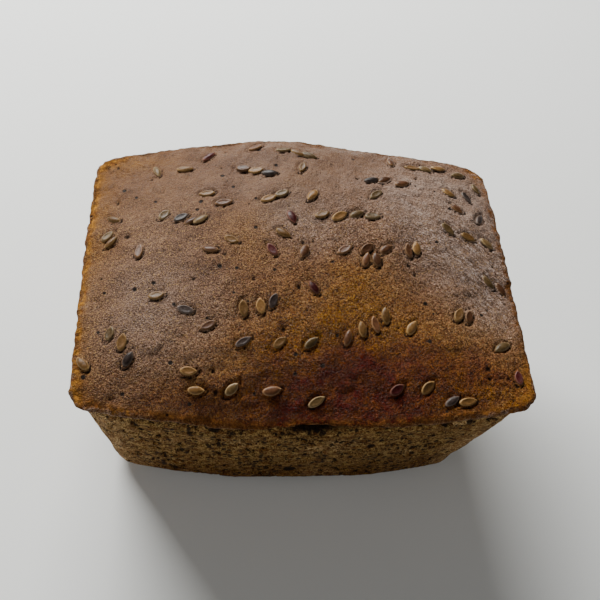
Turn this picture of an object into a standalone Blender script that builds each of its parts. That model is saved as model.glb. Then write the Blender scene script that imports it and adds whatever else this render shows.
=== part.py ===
"""Buckwheat sourdough baked in a tin, with linseed pressed into its top crust.

One solid in metres, +Z up. The loaf stands on its flat base, with the origin in the
middle of that base, its long sides along X and its lower, cracked rim towards -Y.
"""
import math
import random

import bmesh
import bpy
from mathutils import Matrix, Vector, noise
from mathutils.bvhtree import BVHTree

NODE = "loaf"

# The rim, where the top crust meets the walls
RIM_LENGTH = 0.1270
RIM_DEPTH = 0.0896
RIM_HEIGHT = 0.0635
RIM_CORNER = 0.0050
FULL_CORNER = 0.0026        # the front left one, where the dough filled the tin
RIM_SWELL_LONG = 0.0052     # how far the middle of a long side stands out
RIM_SWELL_SHORT = 0.0004
RIM_TILT = 0.0036           # back rim higher, and front rim lower, in the middle
LIP_ROUND = 0.0014
LIP_UNDERCUT = 0.0007
LIP_DROP = 0.0030           # depth of the undercut's deepest line below the rim
WALL_CORNER = 0.0115        # rounder than the rim, so the lip overhangs at the corners

# The base, which the tin's tapered walls draw in
BASE_INSET_LONG = 0.0123
BASE_INSET_SHORT = 0.0077
BASE_CORNER = 0.0065
BASE_SWELL_LONG = 0.0061
BASE_SHIFT = -0.0026        # the base sits a little to the left of the rim
FOOT_ROUND = 0.0080
LEAN = -0.025               # x per y, the tin is slightly out of square

# The top crust
CROWN_RISE = 0.0088
CROWN_POWER_X = 3.0
CROWN_POWER_Y = 2.3
RIDGE_LEFT = -0.020         # y of the crown's ridge at the left end
RIDGE_RIGHT = 0.014         # and at the right one
RIDGE_TURN = -0.015         # x where it crosses from one to the other
RIDGE_REACH = 0.025

# The crack that opened along the front lip, which drew back above it
CRACK_X = 0.0025
CRACK_HALF = 0.0095
CRACK_DROP = 0.0019         # how far its middle lies below the rim
CRACK_HEIGHT = 0.0011
CRACK_DEPTH = 0.0026
LIP_BACK = 0.0009
LIP_BACK_REACH = 0.0040     # how far in from the rim the top drew back

# Unevenness of the crust: size of a bump, how far it stands out
SWELLS = ((0.030, 0.0008), (0.010, 0.00035))
CRUMBS = ((0.0050, 0.0004), (0.0026, 0.0003))
CRUMB_REACH = 0.0035        # how far the crumbly edge runs down the wall
WALL_EASE = 8.0             # how soon a wall's unevenness sets in above its foot

# Rises and hollows of the top: x, y, reach along x, reach along y, height
RISES = (
    (-0.0230, -0.0480, 0.0300, 0.0160, -0.0020),
    (-0.0080, 0.0470, 0.0160, 0.0140, 0.0022),
    (-0.0180, -0.0180, 0.0140, 0.0100, -0.0006),
    (-0.0550, -0.0470, 0.0160, 0.0140, -0.0016),
)

# Linseed
SEED_LENGTH = 0.0053
SEED_WIDTH = 0.0028
SEED_THICKNESS = 0.0013
SEED_SIDES = 6
SEED_BANDS = 4
SEED_POINT = 0.45           # how much narrower it is towards its pointed end
SEED_PROUD = (0.34, 0.64)   # least and greatest share of its thickness above the crust
SEED_COUNT = 92
SEED_PAIR_GAP = 0.0027      # least distance between the middles of two seeds in a row
SEED_LONE_GAP = 0.0066      # and round a seed that fell by itself
SEED_EDGE = 0.0030          # kept free along the rim
SEED_SLIP = 0.0014          # how far out of its row's line a seed may lie
SEED_TURN = 20.0            # and how far it turns, in degrees
SEED_ROLL = 0.2             # how far a seed leans over to one side, in radians
SEED_DRAW = 7

# Seeds that fell in a row: middle x, y, how many, millimetres apart, the row's
# direction and the way the seeds point, both in degrees from X
SEED_ROWS = (
    (-35, 15, 5, 2.9, -20, 47), (-12, -17, 3, 4.4, 13, 80), (-7, -27, 3, 9.0, 0, 40),
    (19, 3, 3, 5.8, 0, 45), (20, -1, 2, 3.4, 5, 85), (33, 4, 2, 3.5, 15, 80),
    (18, -22, 4, 4.1, 33, 95), (46, -17, 2, 3.4, 17, 67), (58, -5, 2, 4.6, -10, -65),
    (52, 12, 3, 6.4, -8, -30), (27, 31, 3, 4.9, -5, 20), (51, 29, 2, 6.4, 5, -50),
    (42, 41, 3, 4.5, 10, -12), (14, 15, 4, 5.2, 0, 15), (-13, 34, 3, 4.6, -15, 10),
    (-6, 23, 3, 3.4, 30, 40), (0, 42, 3, 4.2, -10, -12), (-57, 9, 2, 3.4, -70, 60),
    (-50, -28, 3, 5.2, -54, 75), (-30, -38, 2, 5.1, -57, -15), (42, -43, 2, 4.6, 0, 22),
    (30, -39, 2, 9.3, 5, 56), (-3, -42, 2, 12.0, -13, 15),
)

# Grid of the crust
CELLS_X = 43
CELLS_Y = 31
CELLS_Z = 12

CRUST_COLOUR = (0.140, 0.062, 0.022, 1.0)
SEED_COLOUR = (0.270, 0.165, 0.078, 1.0)


def clear_scene():
    for item in list(bpy.data.objects):
        bpy.data.objects.remove(item, do_unlink=True)


def new_collection(name):
    group = bpy.data.collections.new(name)
    bpy.context.scene.collection.children.link(group)
    return group


def new_material(name, colour, roughness):
    material = bpy.data.materials.new(name)
    material.use_nodes = True
    shader = material.node_tree.nodes["Principled BSDF"]
    shader.inputs["Base Color"].default_value = colour
    shader.inputs["Roughness"].default_value = roughness
    shader.inputs["Metallic"].default_value = 0.0
    return material


def mix(low, high, share):
    return low + (high - low) * share


def bell(distance):
    """1 at the middle of a bump, falling to nothing about two reaches out."""
    return math.exp(-distance * distance)


def rounded(u, v, half_x, half_y, corner):
    """Where grid point (u, v) lies in a rounded rectangle, and which way is outward."""
    reach = max(abs(u), abs(v))
    if not reach:
        return Vector((0.0, 0.0, 0.0)), Vector((0.0, 0.0, 0.0))
    x = half_x * u / reach
    y = half_y * v / reach
    past_x = max(abs(x) - half_x + corner, 0.0)
    past_y = max(abs(y) - half_y + corner, 0.0)
    pull = corner / math.hypot(past_x, past_y)
    edge_x = math.copysign(min(abs(x), half_x - corner) + past_x * pull, x)
    edge_y = math.copysign(min(abs(y), half_y - corner) + past_y * pull, y)
    out = Vector((math.copysign(past_x, x), math.copysign(past_y, y), 0.0)).normalized()
    return Vector((edge_x * reach, edge_y * reach, 0.0)), out


def outline(u, v, share, below, set_back):
    """The loaf's plan at a share of the way up its walls, drawn in by set_back."""
    half_x = RIM_LENGTH / 2 - BASE_INSET_SHORT * (1 - share) - set_back
    half_y = RIM_DEPTH / 2 - BASE_INSET_LONG * (1 - share) - set_back
    wall_corner = mix(BASE_CORNER, WALL_CORNER, share)
    rim_corner = FULL_CORNER if u < 0 and v < 0 else RIM_CORNER
    corner = mix(wall_corner, rim_corner, bell(below / LIP_ROUND)) - set_back / 2
    place, out = rounded(u, v, half_x, half_y, corner)
    place.x += RIM_SWELL_SHORT * u * (1 - v * v)
    place.y += mix(BASE_SWELL_LONG, RIM_SWELL_LONG, share) * v * (1 - u * u)
    place.x += BASE_SHIFT * (1 - share) + LEAN * place.y
    return place, out


def unevenness(place, layers):
    return sum(size * noise.noise(place / scale) for scale, size in layers)


def rises(x, y):
    height = 0.0
    for middle_x, middle_y, reach_x, reach_y, tall in RISES:
        away = math.hypot((x - middle_x) / reach_x, (y - middle_y) / reach_y)
        height += tall * bell(away)
    return height


def half_depth(x):
    """Half the rim's depth at x, where the long sides swell in their middle."""
    return RIM_DEPTH / 2 + RIM_SWELL_LONG * max(1 - (2 * x / RIM_LENGTH) ** 2, 0.0)


def ridge(x):
    """Y of the crown's ridge, which runs from the front left to the back right."""
    turned = 0.5 + 0.5 * math.tanh((x - RIDGE_TURN) / RIDGE_REACH)
    return mix(RIDGE_LEFT, RIDGE_RIGHT, turned)


def top_height(x, y):
    """Height of the top crust: rim line, low crown and unevenness."""
    across = min(abs(x) / (RIM_LENGTH / 2), 1.0)
    along = max(-1.0, min(y / half_depth(x), 1.0))
    away = y - ridge(x)
    reach = half_depth(x) - ridge(x) if away > 0 else half_depth(x) + ridge(x)
    fallen = min(abs(away) / reach, 1.0) ** CROWN_POWER_Y
    crown = (1 - across ** CROWN_POWER_X) * (1 - fallen)
    height = RIM_HEIGHT + RIM_TILT * along * (1 - across ** 2) + CROWN_RISE * crown
    return height + rises(x, y) + unevenness(Vector((x, y, RIM_HEIGHT)), SWELLS)


def wall_set_back(height, below):
    """How far a wall point stands in: foot rounding, undercut and the lip's roll."""
    back = 0.0
    if height < FOOT_ROUND:
        back += FOOT_ROUND - math.sqrt(FOOT_ROUND ** 2 - (FOOT_ROUND - height) ** 2)
    if below < LIP_ROUND:
        back += LIP_ROUND - math.sqrt(LIP_ROUND ** 2 - (LIP_ROUND - below) ** 2)
    return back + LIP_UNDERCUT * bell((below - LIP_DROP) / LIP_ROUND)


def cracked(x, y):
    """1 at the middle of the crack in the front lip, 0 away from it."""
    return bell((x - CRACK_X) / CRACK_HALF) if y < 0 else 0.0


def crack_depth(x, y, below):
    """How far the wall is drawn in by the crack and by the lip above it."""
    away = (below - CRACK_DROP) / CRACK_HEIGHT
    lip = LIP_BACK if away < 0 else LIP_BACK * bell(away)
    return cracked(x, y) * (CRACK_DEPTH * bell(away) + lip)


def crumb_push(place, below):
    """Crumbly edge: strongest on the rim, gone a little way down the wall."""
    return unevenness(place, CRUMBS) * bell(below / CRUMB_REACH)


def top_point(u, v):
    place, out = outline(u, v, 1.0, 0.0, LIP_ROUND)
    inward = (1 - max(abs(u), abs(v))) * RIM_DEPTH / 2
    place.z = top_height(place.x, place.y)
    back = LIP_BACK * cracked(place.x, place.y) * bell(inward / LIP_BACK_REACH)
    return place + out * (crumb_push(place, inward) - back)


def wall_point(u, v, share):
    edge, _ = outline(u, v, 1.0, 0.0, LIP_ROUND)
    rim = top_height(edge.x, edge.y)
    height = rim * share
    below = rim - height
    place, out = outline(u, v, share, below, wall_set_back(height, below))
    place.z = height
    push = crumb_push(place, below) - crack_depth(place.x, place.y, below)
    ease = min(share * (1 - share) * WALL_EASE, 1.0)
    return place + out * (push + unevenness(place, SWELLS) * ease)


def loaf_point(u, v, w):
    """Place on the loaf of a point on the surface of a cube from -1 to 1."""
    if w > 0.999:
        return top_point(u, v)
    share = (1 - math.cos(math.pi * (w + 1) / 2)) / 2
    return wall_point(u, v, share)


def split_edges(bm, axis, cells):
    edges = [e for e in bm.edges if abs(e.verts[0].co[axis] - e.verts[1].co[axis]) > 0.5]
    bmesh.ops.subdivide_edges(bm, edges=edges, cuts=cells - 1, use_grid_fill=True)


def make_crust(group, material):
    """The bare loaf: a gridded cube whose points are moved onto the crust."""
    bm = bmesh.new()
    bmesh.ops.create_cube(bm, size=2.0)
    for axis, cells in enumerate((CELLS_X, CELLS_Y, CELLS_Z)):
        split_edges(bm, axis, cells)
    base = [f for f in bm.faces if f.normal.z < -0.5]
    bmesh.ops.dissolve_faces(bm, faces=base, use_verts=True)
    for vert in bm.verts:
        vert.co = loaf_point(*vert.co)
    mesh = bpy.data.meshes.new(NODE)
    bm.to_mesh(mesh)
    bm.free()
    mesh.materials.append(material)
    mesh.shade_smooth()
    loaf = bpy.data.objects.new(NODE, mesh)
    group.objects.link(loaf)
    return loaf


def row_places(draw):
    """Middle and heading of the seeds that fell in rows, none quite in line."""
    places = []
    for x, y, count, step, row, heading in SEED_ROWS:
        along = math.radians(row)
        for k in range(count):
            away = (k - (count - 1) / 2) * step / 1000
            places.append((
                x / 1000 + away * math.cos(along) + draw.uniform(-0.5, 0.5) * SEED_SLIP,
                y / 1000 + away * math.sin(along) + draw.uniform(-0.5, 0.5) * SEED_SLIP,
                math.radians(heading + draw.uniform(-SEED_TURN, SEED_TURN)),
            ))
    return places


def has_room(x, y, places, distance):
    """Whether a seed at x, y lies on the top crust and clear of the seeds already there."""
    if abs(x) > RIM_LENGTH / 2 - SEED_EDGE or abs(y) > half_depth(x) - SEED_EDGE:
        return False
    return all(math.hypot(x - p[0], y - p[1]) > distance for p in places)


def seed_places():
    """Middle and heading of every seed: the rows, then single ones strewn between."""
    draw = random.Random(SEED_DRAW)
    places = []
    for x, y, heading in row_places(draw):
        if has_room(x, y, places, SEED_PAIR_GAP):
            places.append((x, y, heading))
    while len(places) < SEED_COUNT:
        x = draw.uniform(-0.5, 0.5) * RIM_LENGTH
        y = draw.uniform(-0.5, 0.5) * RIM_DEPTH
        heading = draw.uniform(0.0, math.tau)
        kept = draw.random() < 0.55 + 0.9 * y / RIM_DEPTH
        if kept and has_room(x, y, places, SEED_LONE_GAP):
            places.append((x, y, heading))
    return places


def seed_mesh(material):
    """One linseed along X: a flat drop, round at one end and pointed at the other."""
    bm = bmesh.new()
    bmesh.ops.create_uvsphere(bm, u_segments=SEED_SIDES, v_segments=SEED_BANDS, radius=0.5)
    bmesh.ops.rotate(bm, verts=bm.verts, matrix=Matrix.Rotation(math.pi / 2, 3, "Y"))
    for vert in bm.verts:
        narrow = 1.0 - SEED_POINT * max(vert.co.x, 0.0)
        vert.co.x *= SEED_LENGTH
        vert.co.y *= SEED_WIDTH * narrow
        vert.co.z *= SEED_THICKNESS * narrow
    mesh = bpy.data.meshes.new("linseed")
    bm.to_mesh(mesh)
    bm.free()
    mesh.materials.append(material)
    return mesh


def lying_frame(place, normal, heading, roll):
    """Where a seed lies: X along it, Z off the crust, rolled a little about its length."""
    across = normal.cross(Vector((math.cos(heading), math.sin(heading), 0.0))).normalized()
    axes = Matrix((across.cross(normal), across, normal)).transposed().to_4x4()
    return Matrix.Translation(place) @ axes @ Matrix.Rotation(roll, 4, "X")


def lay_seeds(loaf, group, material):
    """Each seed lies along the crust where it fell, sunk by about half."""
    crust = BVHTree.FromObject(loaf, bpy.context.evaluated_depsgraph_get())
    mesh = seed_mesh(material)
    draw = random.Random(SEED_DRAW + 1)
    for index, (x, y, heading) in enumerate(seed_places()):
        place, normal, _, _ = crust.ray_cast(Vector((x, y, 1.0)), Vector((0, 0, -1)))
        lift = SEED_THICKNESS * (draw.uniform(*SEED_PROUD) - 0.5)
        roll = draw.uniform(-SEED_ROLL, SEED_ROLL)
        seed = bpy.data.objects.new(f"linseed_{index:02d}", mesh)
        seed.matrix_world = lying_frame(place + normal * lift, normal, heading, roll)
        seed.hide_render = True
        seed.display_type = "WIRE"
        group.objects.link(seed)


def fuse_seeds(loaf, group):
    """Join the whole collection of seeds to the crust, then drop the loose seeds."""
    union = loaf.modifiers.new("seeds", "BOOLEAN")
    union.operation = "UNION"
    union.operand_type = "COLLECTION"
    union.collection = group
    union.solver = "EXACT"
    union.material_mode = "TRANSFER"
    bpy.context.view_layer.update()
    bpy.context.view_layer.objects.active = loaf
    bpy.ops.object.modifier_apply(modifier=union.name)
    for seed in list(group.objects):
        bpy.data.objects.remove(seed, do_unlink=True)
    bpy.data.collections.remove(group)


def build():
    clear_scene()
    bread = new_collection("buckwheat_sourdough")
    seeds = new_collection("linseed")
    loaf = make_crust(bread, new_material("crust", CRUST_COLOUR, 0.55))
    bpy.context.view_layer.update()
    lay_seeds(loaf, seeds, new_material("seed_hull", SEED_COLOUR, 0.40))
    fuse_seeds(loaf, seeds)


build()
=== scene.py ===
"""Looks of the buckwheat sourdough loaf: its crust, linseed, floor, light and camera.

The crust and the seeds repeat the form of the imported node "loaf" from the same named
sizes, with the fine relief that the solid leaves out. Everything is in metres.
"""
import math
import random

import bmesh
import bpy
from mathutils import Matrix, Vector, kdtree, noise


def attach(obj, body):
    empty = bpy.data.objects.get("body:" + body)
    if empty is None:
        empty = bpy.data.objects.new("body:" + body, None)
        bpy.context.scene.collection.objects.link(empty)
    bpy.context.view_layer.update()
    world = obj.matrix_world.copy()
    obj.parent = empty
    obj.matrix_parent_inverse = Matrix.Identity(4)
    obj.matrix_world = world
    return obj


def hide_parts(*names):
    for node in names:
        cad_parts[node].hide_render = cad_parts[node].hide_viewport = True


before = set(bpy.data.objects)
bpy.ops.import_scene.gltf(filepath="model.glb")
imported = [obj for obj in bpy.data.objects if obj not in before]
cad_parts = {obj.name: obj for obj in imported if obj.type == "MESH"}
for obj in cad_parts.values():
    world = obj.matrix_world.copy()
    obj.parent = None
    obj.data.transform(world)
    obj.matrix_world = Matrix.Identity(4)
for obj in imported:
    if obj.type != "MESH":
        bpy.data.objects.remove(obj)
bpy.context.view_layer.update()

# ---------------------------------------------------------------- form of the loaf
RIM_LENGTH = 0.1270
RIM_DEPTH = 0.0896
RIM_HEIGHT = 0.0635
RIM_CORNER = 0.0050
FULL_CORNER = 0.0026
RIM_SWELL_LONG = 0.0052
RIM_SWELL_SHORT = 0.0004
RIM_TILT = 0.0036
LIP_ROUND = 0.0014
LIP_UNDERCUT = 0.0007
LIP_DROP = 0.0030
WALL_CORNER = 0.0115
BASE_INSET_LONG = 0.0123
BASE_INSET_SHORT = 0.0077
BASE_CORNER = 0.0065
BASE_SWELL_LONG = 0.0061
BASE_SHIFT = -0.0026
FOOT_ROUND = 0.0080
LEAN = -0.025
CROWN_RISE = 0.0088
CROWN_POWER_X = 3.0
CROWN_POWER_Y = 2.3
RIDGE_LEFT = -0.020
RIDGE_RIGHT = 0.014
RIDGE_TURN = -0.015
RIDGE_REACH = 0.025
CRACK_X = 0.0025
CRACK_HALF = 0.0095
CRACK_DROP = 0.0019
CRACK_HEIGHT = 0.0011
CRACK_DEPTH = 0.0026
LIP_BACK = 0.0009
LIP_BACK_REACH = 0.0040
SWELLS = ((0.030, 0.0008), (0.010, 0.00035))
CRUMBS = ((0.0050, 0.0004), (0.0026, 0.0003))
CRUMB_REACH = 0.0035
WALL_EASE = 8.0
# Soft swellings and hollows of the top: x, y, reach along x, reach along y, height
RISES = (
    (-0.0230, -0.0480, 0.0300, 0.0160, -0.0020),
    (-0.0080, 0.0470, 0.0160, 0.0140, 0.0022),
    (-0.0180, -0.0180, 0.0140, 0.0100, -0.0006),
    (-0.0550, -0.0470, 0.0160, 0.0140, -0.0016),
)

# ---------------------------------------------------------------- linseed
SEED_LENGTH = 0.0053
SEED_WIDTH = 0.0028
SEED_THICKNESS = 0.0013
SEED_POINT = 0.45
SEED_PROUD = (0.34, 0.64)
SEED_COUNT = 92
SEED_PAIR_GAP = 0.0027
SEED_LONE_GAP = 0.0066
SEED_EDGE = 0.0030
SEED_SLIP = 0.0014
SEED_TURN = 20.0
SEED_ROLL = 0.2
SEED_DRAW = 7
# Seeds that fell in rows: x and y of the middle in mm, number, step in mm, and the
# directions of the row and of its seeds in degrees
SEED_ROWS = (
    (-35, 15, 5, 2.9, -20, 47), (-12, -17, 3, 4.4, 13, 80), (-7, -27, 3, 9.0, 0, 40),
    (19, 3, 3, 5.8, 0, 45), (20, -1, 2, 3.4, 5, 85), (33, 4, 2, 3.5, 15, 80),
    (18, -22, 4, 4.1, 33, 95), (46, -17, 2, 3.4, 17, 67), (58, -5, 2, 4.6, -10, -65),
    (52, 12, 3, 6.4, -8, -30), (27, 31, 3, 4.9, -5, 20), (51, 29, 2, 6.4, 5, -50),
    (42, 41, 3, 4.5, 10, -12), (14, 15, 4, 5.2, 0, 15), (-13, 34, 3, 4.6, -15, 10),
    (-6, 23, 3, 3.4, 30, 40), (0, 42, 3, 4.2, -10, -12), (-57, 9, 2, 3.4, -70, 60),
    (-50, -28, 3, 5.2, -54, 75), (-30, -38, 2, 5.1, -57, -15), (42, -43, 2, 4.6, 0, 22),
    (30, -39, 2, 9.3, 5, 56), (-3, -42, 2, 12.0, -13, 15),
)
SEED_SIDES = 28
SEED_BANDS = 14
TIP_SHARPNESS = 1.0          # 0 for an oval seed, 1 for one drawn out to a point
SEED_BEND = 0.10             # how far a seed may curve, against its length
DISHED = 0.40                # share of the seeds that lie hollow side up
SEED_KINDS = ("tan", "olive", "brown", "slate", "plum")
SEED_SHARES = (0.38, 0.18, 0.28, 0.08, 0.08)

# ---------------------------------------------------------------- fine relief
CELLS_X = 214
CELLS_Y = 152
CELLS_Z = 88
RING_BUNCHING = 0.55         # 0 spaces the wall's rings evenly, 1 crowds foot and rim
GRAIN = ((0.0100, 0.00068), (0.0050, 0.00038), (0.0024, 0.00020), (0.0014, 0.00018))
RIM_GRIT = ((0.0017, 0.00018), (0.0011, 0.00018))
RIM_GRIT_REACH = 0.0020
CALM_EDGE = 0.0020           # the top's relief fades out this near to the lip
BARE_EDGE = 0.0010           # reach of the rim's bare crumb
BARE_CORNER = 0.0020         # how much further it reaches in the corners
PATCH_RAG = 0.0035           # how far the edge of a patch of colour wanders
PATCH_RAG_STEP = 0.009
CRUMB_HOLE_STEP = 0.0011
CRUMB_HOLE_DEPTH = 0.0005
WRINKLE_CENTRE = (0.020, -0.042)
WRINKLE_STEP = 0.0014
WRINKLE_TURN = 7.0
WRINKLE_HEIGHT = 0.00016
WALL_GRAIN = ((0.0030, 0.00014), (0.0013, 0.00012))
WALL_COARSENESS = 0.85
PIT_ACROSS = 0.0022
PIT_TALL = 0.0021
PIT_DEPTH = 0.00075
PIT_CROWDS = 0.012           # the pits crowd together in patches about this far apart
# the seam under the lip is painted dark as shade
SEAM_DROP = 0.0022           # how far under the lip's edge the dark seam runs
SEAM_WANDER = 0.0010
SEAM_HALF = 0.0009
SEAM_DEPTH = 0.0006
SEAM_START = (-0.046, -0.026)
SEAM_END = (0.016, 0.028)
HOLE_COUNT = 38
HOLE_REACH = 0.0008
GHOST_COUNT = 14             # seeds sunk under the crust
GHOST_RISE = 0.00025
GHOST_MOAT = 0.00015
MOAT_RADIUS = 1.15           # from a seed's middle, where its outline is at 1
MOAT_WIDTH = 0.15
MOAT_DEPTH = 0.00050
# the side of each seed where the crust is painted darker as the seed's shadow
PAINTED_SHADOW_SIDE = (0.55, -0.83)  # the side of a seed that the crust shades most
SOFT_FROM = 0.000            # from here to there along Y the top crust turns smoother
SOFT_TO = 0.034
FEATURE_DRAW = 21

# Larger dents in the front wall: x, height, reach along, reach up
DENTS = ((-0.001, 0.015, 0.0022, 0.0032), (0.021, 0.041, 0.0014, 0.0024),
         (-0.044, 0.050, 0.0010, 0.0016), (-0.024, 0.055, 0.0018, 0.0016))

# Patches of colour in the top crust: x, y, reach along x, reach along y, strength
BAKED = ((0.012, -0.045, 0.030, 0.013, 1.3), (0.038, -0.031, 0.022, 0.007, 0.5),
         (0.008, -0.030, 0.018, 0.008, 0.35), (-0.036, -0.046, 0.022, 0.008, 0.4),
         (0.052, -0.037, 0.010, 0.007, 0.4), (0.032, -0.014, 0.007, 0.006, 0.35))
AMBER = ((0.026, -0.020, 0.026, 0.010, 1.2), (0.018, -0.006, 0.010, 0.007, 0.8),
         (-0.015, 0.008, 0.008, 0.012, 0.8), (0.055, -0.041, 0.008, 0.005, 0.9),
         (-0.022, -0.043, 0.022, 0.007, 0.9), (0.046, -0.028, 0.016, 0.009, 1.0),
         (-0.062, 0.000, 0.006, 0.050, 0.9), (-0.052, 0.042, 0.014, 0.006, 0.8),
         (0.014, -0.037, 0.054, 0.014, 1.3), (-0.044, 0.018, 0.012, 0.012, 0.5),
         (0.000, 0.030, 0.008, 0.006, 0.4))
# pale greyish patches, partly dust and partly painted sheen
DUST_AND_SHEEN_SPOTS = ((0.056, 0.014, 0.024, 0.028, 1.4), (0.006, 0.034, 0.044, 0.018, 0.42),
         (-0.042, -0.018, 0.020, 0.022, 0.72), (-0.044, 0.014, 0.014, 0.012, 0.30),
         (0.000, 0.012, 0.018, 0.012, 0.58), (0.036, 0.024, 0.016, 0.014, 0.40),
         (0.055, -0.016, 0.008, 0.010, 0.30))
# Where the crust is creased
CREASED = ((0.052, -0.006, 0.011, 0.022, 1.0), (0.036, 0.006, 0.012, 0.010, 0.7),
           (0.034, 0.024, 0.012, 0.008, 0.3))
# Where the crumb lies bare and broken
CRUMBLY = ((0.054, -0.036, 0.010, 0.008, 1.0), (-0.058, 0.041, 0.006, 0.005, 1.0),
           (-0.044, -0.044, 0.012, 0.003, 0.7), (0.060, 0.040, 0.004, 0.005, 0.8))


def mix(low, high, share):
    return low + (high - low) * share


def bell(distance):
    return math.exp(-distance * distance)


def ramp(value, low, high):
    """0 up to low, 1 from high on, and smooth between."""
    share = max(0.0, min((value - low) / (high - low), 1.0))
    return share * share * (3 - 2 * share)


def rounded(u, v, half_x, half_y, corner):
    """Where grid point (u, v) lies in a rounded rectangle, and which way is outward."""
    reach = max(abs(u), abs(v))
    if not reach:
        return Vector((0.0, 0.0, 0.0)), Vector((0.0, 0.0, 0.0))
    x = half_x * u / reach
    y = half_y * v / reach
    past_x = max(abs(x) - half_x + corner, 0.0)
    past_y = max(abs(y) - half_y + corner, 0.0)
    pull = corner / math.hypot(past_x, past_y)
    edge_x = math.copysign(min(abs(x), half_x - corner) + past_x * pull, x)
    edge_y = math.copysign(min(abs(y), half_y - corner) + past_y * pull, y)
    out = Vector((math.copysign(past_x, x), math.copysign(past_y, y), 0.0)).normalized()
    return Vector((edge_x * reach, edge_y * reach, 0.0)), out


def outline(u, v, share, below, set_back):
    """The loaf's plan at a share of the way up its walls, drawn in by set_back."""
    half_x = RIM_LENGTH / 2 - BASE_INSET_SHORT * (1 - share) - set_back
    half_y = RIM_DEPTH / 2 - BASE_INSET_LONG * (1 - share) - set_back
    wall_corner = mix(BASE_CORNER, WALL_CORNER, share)
    rim_corner = FULL_CORNER if u < 0 and v < 0 else RIM_CORNER
    corner = mix(wall_corner, rim_corner, bell(below / LIP_ROUND)) - set_back / 2
    place, out = rounded(u, v, half_x, half_y, corner)
    place.x += RIM_SWELL_SHORT * u * (1 - v * v)
    place.y += mix(BASE_SWELL_LONG, RIM_SWELL_LONG, share) * v * (1 - u * u)
    place.x += BASE_SHIFT * (1 - share) + LEAN * place.y
    return place, out


def unevenness(place, layers):
    return sum(size * noise.noise(place / scale) for scale, size in layers)


def rises(x, y):
    height = 0.0
    for middle_x, middle_y, reach_x, reach_y, tall in RISES:
        away = math.hypot((x - middle_x) / reach_x, (y - middle_y) / reach_y)
        height += tall * bell(away)
    return height


def half_depth(x):
    """Half the rim's depth at x, where the long sides swell in their middle."""
    return RIM_DEPTH / 2 + RIM_SWELL_LONG * max(1 - (2 * x / RIM_LENGTH) ** 2, 0.0)


def ridge(x):
    """Y of the crown's ridge, which runs from the front left to the back right."""
    turned = 0.5 + 0.5 * math.tanh((x - RIDGE_TURN) / RIDGE_REACH)
    return mix(RIDGE_LEFT, RIDGE_RIGHT, turned)


def top_height(x, y):
    """Height of the top crust: rim line, low crown and unevenness."""
    across = min(abs(x) / (RIM_LENGTH / 2), 1.0)
    along = max(-1.0, min(y / half_depth(x), 1.0))
    away = y - ridge(x)
    reach = half_depth(x) - ridge(x) if away > 0 else half_depth(x) + ridge(x)
    fallen = min(abs(away) / reach, 1.0) ** CROWN_POWER_Y
    crown = (1 - across ** CROWN_POWER_X) * (1 - fallen)
    height = RIM_HEIGHT + RIM_TILT * along * (1 - across ** 2) + CROWN_RISE * crown
    return height + rises(x, y) + unevenness(Vector((x, y, RIM_HEIGHT)), SWELLS)


def top_normal(x, y):
    """Which way the crust faces, taken over about a seed's length."""
    step = SEED_LENGTH / 3
    rise_x = top_height(x + step, y) - top_height(x - step, y)
    rise_y = top_height(x, y + step) - top_height(x, y - step)
    return Vector((-rise_x, -rise_y, 2 * step)).normalized()


def wall_set_back(height, below):
    """How far a wall point stands in: foot rounding, undercut and the lip's roll."""
    back = 0.0
    if height < FOOT_ROUND:
        back += FOOT_ROUND - math.sqrt(FOOT_ROUND ** 2 - (FOOT_ROUND - height) ** 2)
    if below < LIP_ROUND:
        back += LIP_ROUND - math.sqrt(LIP_ROUND ** 2 - (LIP_ROUND - below) ** 2)
    return back + LIP_UNDERCUT * bell((below - LIP_DROP) / LIP_ROUND)


def cracked(x, y):
    """1 at the middle of the crack in the front lip, 0 away from it."""
    return bell((x - CRACK_X) / CRACK_HALF) if y < 0 else 0.0


def crack_depth(x, y, below):
    """How far the wall is drawn in by the crack and by the lip above it."""
    away = (below - CRACK_DROP) / CRACK_HEIGHT
    lip = LIP_BACK if away < 0 else LIP_BACK * bell(away)
    return cracked(x, y) * (CRACK_DEPTH * bell(away) + lip)


def crumb_push(place, below):
    """Crumbly edge: strongest on the rim, gone a little way down the wall."""
    return unevenness(place, CRUMBS) * bell(below / CRUMB_REACH)


# ---------------------------------------------------------------- where the seeds lie
def row_places(draw):
    """Middle and heading of the seeds that fell in rows, none quite in line."""
    places = []
    for x, y, count, step, row, heading in SEED_ROWS:
        along = math.radians(row)
        for k in range(count):
            away = (k - (count - 1) / 2) * step / 1000
            places.append((
                x / 1000 + away * math.cos(along) + draw.uniform(-0.5, 0.5) * SEED_SLIP,
                y / 1000 + away * math.sin(along) + draw.uniform(-0.5, 0.5) * SEED_SLIP,
                math.radians(heading + draw.uniform(-SEED_TURN, SEED_TURN)),
            ))
    return places


def has_room(x, y, places, distance):
    """Whether a seed at x, y lies on the top crust and clear of the seeds already there."""
    if abs(x) > RIM_LENGTH / 2 - SEED_EDGE or abs(y) > half_depth(x) - SEED_EDGE:
        return False
    return all(math.hypot(x - p[0], y - p[1]) > distance for p in places)


def seed_places():
    """Middle and heading of every seed: the rows, then single ones strewn between."""
    draw = random.Random(SEED_DRAW)
    places = []
    for x, y, heading in row_places(draw):
        if has_room(x, y, places, SEED_PAIR_GAP):
            places.append((x, y, heading))
    while len(places) < SEED_COUNT:
        x = draw.uniform(-0.5, 0.5) * RIM_LENGTH
        y = draw.uniform(-0.5, 0.5) * RIM_DEPTH
        heading = draw.uniform(0.0, math.tau)
        kept = draw.random() < 0.55 + 0.9 * y / RIM_DEPTH
        if kept and has_room(x, y, places, SEED_LONE_GAP):
            places.append((x, y, heading))
    return places


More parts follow.
